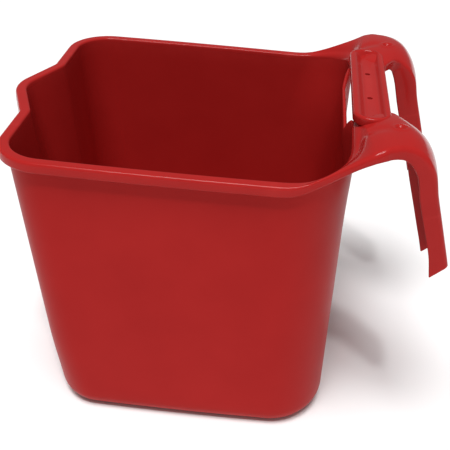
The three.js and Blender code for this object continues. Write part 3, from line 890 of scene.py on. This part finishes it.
def moulded_red(name, looks, gloss, shine, relief=0.05, rubbed=0.5):
    """Red moulded plastic, with its own gloss range, shine, relief and edge wear."""
    known = bpy.data.materials.get(name)
    if known:
        return known
    material = bpy.data.materials.new(name)
    material.use_nodes = True
    tree = material.node_tree
    nodes = tree.nodes
    shader = nodes["Principled BSDF"]
    skin = nodes.new("ShaderNodeGroup")
    skin.node_tree = shared_group("Moulded Skin", moulded_skin_group)
    edges = nodes.new("ShaderNodeGroup")
    edges.node_tree = shared_group("Rubbed Edges", rubbed_edge_group)
    edges.inputs["Amount"].default_value = rubbed
    body = nodes.new("ShaderNodeMix")
    body.data_type = "RGBA"
    body.inputs["A"].default_value = (*looks.deep, 1)
    body.inputs["B"].default_value = (*looks.plastic, 1)
    link(tree, skin.outputs["Tone"], body.inputs["Factor"])
    worn = nodes.new("ShaderNodeMix")
    worn.data_type = "RGBA"
    worn.inputs["B"].default_value = (*looks.scuffed, 1)
    link(tree, body.outputs["Result"], worn.inputs["A"])
    link(tree, edges.outputs["Mask"], worn.inputs["Factor"])
    link(tree, worn.outputs["Result"], shader.inputs["Base Color"])
    rough = nodes.new("ShaderNodeMapRange")
    rough.inputs["To Min"].default_value = gloss[0]
    rough.inputs["To Max"].default_value = gloss[1]
    link(tree, skin.outputs["Gloss"], rough.inputs["Value"])
    link(tree, rough.outputs["Result"], shader.inputs["Roughness"])
    bump = nodes.new("ShaderNodeBump")
    bump.inputs["Strength"].default_value = relief
    bump.inputs["Distance"].default_value = 0.4 * MM
    link(tree, skin.outputs["Height"], bump.inputs["Height"])
    link(tree, bump.outputs["Normal"], shader.inputs["Normal"])
    shader.inputs["IOR"].default_value = 1.49
    shader.inputs["Specular IOR Level"].default_value = shine
    return material


def floor_material(looks):
    material = bpy.data.materials.new("pale_ground")
    material.use_nodes = True
    tree = material.node_tree
    shader = tree.nodes["Principled BSDF"]
    shader.inputs["Base Color"].default_value = (*looks.floor, 1)
    shader.inputs["Roughness"].default_value = 0.9
    shader.inputs["Specular IOR Level"].default_value = 0.1
    return material


# ---- Camera and light --------------------------------------------------------------------

AIM = Vector((-0.013, 0.0, 0.120))
CAMERA_YAW = 0.033985
CAMERA_PITCH = 0.578216
CAMERA_ROLL = 0.078290
CAMERA_DISTANCE = 0.715576
CAMERA_ASIDE = 0.070433
CAMERA_RAISE = -0.004406
LENS = 64.0
SHIFT = (-0.074431, 0.004551)


def camera_axes():
    yaw, pitch, roll = CAMERA_YAW, CAMERA_PITCH, CAMERA_ROLL
    level = math.cos(pitch)
    back = Vector((math.sin(yaw) * level, -math.cos(yaw) * level, math.sin(pitch)))
    right = Vector((math.cos(yaw), math.sin(yaw), 0))
    up = back.cross(right)
    turned_right = right * math.cos(roll) + up * math.sin(roll)
    turned_up = up * math.cos(roll) - right * math.sin(roll)
    return turned_right, turned_up, back


def add_camera():
    right, up, back = camera_axes()
    data = bpy.data.cameras.new("view")
    data.sensor_width = 36.0
    data.lens = LENS
    data.shift_x, data.shift_y = SHIFT
    data.clip_start, data.clip_end = 0.05, 20.0
    camera = added("view", data)
    turn = Matrix((right, up, back)).transposed().to_4x4()
    place = AIM + back * CAMERA_DISTANCE + right * CAMERA_ASIDE + up * CAMERA_RAISE
    camera.matrix_world = Matrix.Translation(place) @ turn
    bpy.context.scene.camera = camera


# Each light's direction, strength and spread in degrees
OVERHEAD_LIGHT = (-0.10, -0.27, 1.0), 2.6, 24
SPARKLE_LIGHT = (0.10, -0.45, 1.0), 0.6, 4


def add_far_light(name, coming_from, strength, spread):
    """A light so far away that it comes from one direction, as wide as its spread."""
    data = bpy.data.lights.new(name, "SUN")
    data.energy = strength
    data.angle = math.radians(spread)
    light = added(name, data)
    light.rotation_mode = "QUATERNION"
    light.rotation_quaternion = (-Vector(coming_from)).to_track_quat("-Z", "Y")


GROUND_HALF_WIDTH = 6.0
AIR_STRENGTH = 0.26


def add_ground(looks):
    half = GROUND_HALF_WIDTH
    corners = [(-half, -half, 0), (half, -half, 0), (half, half, 0), (-half, half, 0)]
    mesh = bpy.data.meshes.new("ground")
    mesh.from_pydata(corners, [], [(0, 1, 2, 3)])
    mesh.materials.append(floor_material(looks))
    added("ground", mesh)


def light_the_air():
    world = bpy.data.worlds.new("studio_air")
    world.use_nodes = True
    shade = world.node_tree.nodes["Background"]
    shade.inputs["Color"].default_value = (1, 1, 1, 1)
    shade.inputs["Strength"].default_value = AIR_STRENGTH
    bpy.context.scene.world = world
    bpy.context.scene.view_settings.view_transform = "Standard"


# ---- Operators ---------------------------------------------------------------------------


def plan_and_strip(context):
    scene = context.scene
    plan = TubPlan(scene.bucket_tub, scene.bucket_rim)
    return plan, MouthStrip(plan, scene.bucket_rim)


LEG_TOP_ALONG = 197  # where the arm's piece hands over to the leg's


class AddTub(bpy.types.Operator):
    """Adds the tub's wall and floor"""

    bl_idname = "feed_bucket.add_tub"
    bl_label = "Tub"

    def execute(self, context):
        plan, strip = plan_and_strip(context)
        material = moulded_red("tub_red", context.scene.bucket_looks, gloss=(0.32, 0.42), shine=0.06)
        finish_piece(add_tub_shell(plan, strip, context.scene.bucket_tub), material, "tub_shell")
        finish_piece(add_tub_floor(plan), material, "tub_floor")
        return {"FINISHED"}


class AddRim(bpy.types.Operator):
    """Adds the pouring lip and the rim along each long side"""

    bl_idname = "feed_bucket.add_rim"
    bl_label = "Rim"

    def execute(self, context):
        plan, strip = plan_and_strip(context)
        material = moulded_red("rim_red", context.scene.bucket_looks, gloss=(0.15, 0.22), shine=0.12)
        turn = sum(STRETCHES[part] for part in ("tip", "lobe_side", "notch"))
        turn += STRETCHES["spout_wall"] // 2
        near = np.array([strip.row(i) for i in range(turn + 1)])
        far = near[::-1][:-1] * np.array([1, -1, 1])
        lip = loft("pouring_lip_edge", np.concatenate([far, near]))
        finish_piece(lip, material, "pouring_lip")
        for name, side in SIDES.items():
            rim = add_strip_piece(f"mouth_rim_{name}_edge", strip, side, turn, strip.root)
            finish_piece(rim, material, f"mouth_rim_{name}")
        return {"FINISHED"}


class AddHooks(bpy.types.Operator):
    """Adds both hooks: arm, leg and toe plate"""

    bl_idname = "feed_bucket.add_hooks"
    bl_label = "Hooks"

    def execute(self, context):
        plan, strip = plan_and_strip(context)
        material = moulded_red("hook_red", context.scene.bucket_looks, gloss=(0.13, 0.20), shine=0.12)
        leg_top = int(np.argmin(np.abs(strip.along - LEG_TOP_ALONG)))
        for name, side in SIDES.items():
            arm = add_strip_piece(f"hook_arm_{name}_strap", strip, side, strip.root, leg_top)
            finish_piece(arm, material, f"hook_arm_{name}")
            leg = add_strip_piece(f"hook_leg_{name}_channel", strip, side, leg_top, strip.count - 1)
            finish_piece(leg, material, f"hook_leg_{name}")
            toe = add_toe_plate(f"hook_toe_{name}_plate", strip, side)
            finish_piece(toe, material, f"hook_toe_{name}")
        return {"FINISHED"}


class AddGrip(bpy.types.Operator):
    """Adds the carry grip with its channel and drain holes"""

    bl_idname = "feed_bucket.add_grip"
    bl_label = "Carry grip"

    def execute(self, context):
        grip = context.scene.bucket_grip
        looks = context.scene.bucket_looks
        material = moulded_red("grip_red", looks, gloss=(0.17, 0.25), shine=0.13, relief=0.02)
        pad = add_grip(grip)
        pad.data.materials.append(material)
        drill_grip(pad, grip, material)
        finish_piece(pad, material, "carry_grip")
        return {"FINISHED"}


class AddStage(bpy.types.Operator):
    """Adds the pale ground, the soft lights and the camera"""

    bl_idname = "feed_bucket.add_stage"
    bl_label = "Stage"

    def execute(self, context):
        add_ground(context.scene.bucket_looks)
        light_the_air()
        add_far_light("overhead_softbox", *OVERHEAD_LIGHT)
        add_far_light("sparkle_lamp", *SPARKLE_LIGHT)
        add_camera()
        return {"FINISHED"}


class BucketPanel(bpy.types.Panel):
    """Lists the bucket's pieces and its sizes"""

    bl_idname = "VIEW3D_PT_feed_bucket"
    bl_label = "Feed Bucket"
    bl_space_type = "VIEW_3D"
    bl_region_type = "UI"
    bl_category = "Feed Bucket"

    def draw(self, context):
        for operator in OPERATORS:
            self.layout.operator(operator.bl_idname)
        for name in GROUPS:
            settings = getattr(context.scene, name)
            box = self.layout.box()
            for prop in settings.bl_rna.properties.keys():
                if prop not in ("rna_type", "name"):
                    box.prop(settings, prop)


OPERATORS = [AddStage, AddTub, AddRim, AddHooks, AddGrip]
GROUPS = {
    "bucket_tub": BucketTubSizes,
    "bucket_rim": BucketRimSizes,
    "bucket_grip": BucketGripSizes,
    "bucket_looks": BucketLooks,
}


def register():
    for kind in [*GROUPS.values(), *OPERATORS, BucketPanel]:
        bpy.utils.register_class(kind)
    for name, kind in GROUPS.items():
        setattr(bpy.types.Scene, name, bpy.props.PointerProperty(type=kind))


def unregister():
    for name in GROUPS:
        delattr(bpy.types.Scene, name)
    for kind in reversed([*GROUPS.values(), *OPERATORS, BucketPanel]):
        bpy.utils.unregister_class(kind)


def main():
    register()
    bpy.ops.feed_bucket.add_stage()
    bpy.ops.feed_bucket.add_tub()
    bpy.ops.feed_bucket.add_rim()
    bpy.ops.feed_bucket.add_hooks()
    bpy.ops.feed_bucket.add_grip()


if __name__ == "__main__":
    main()
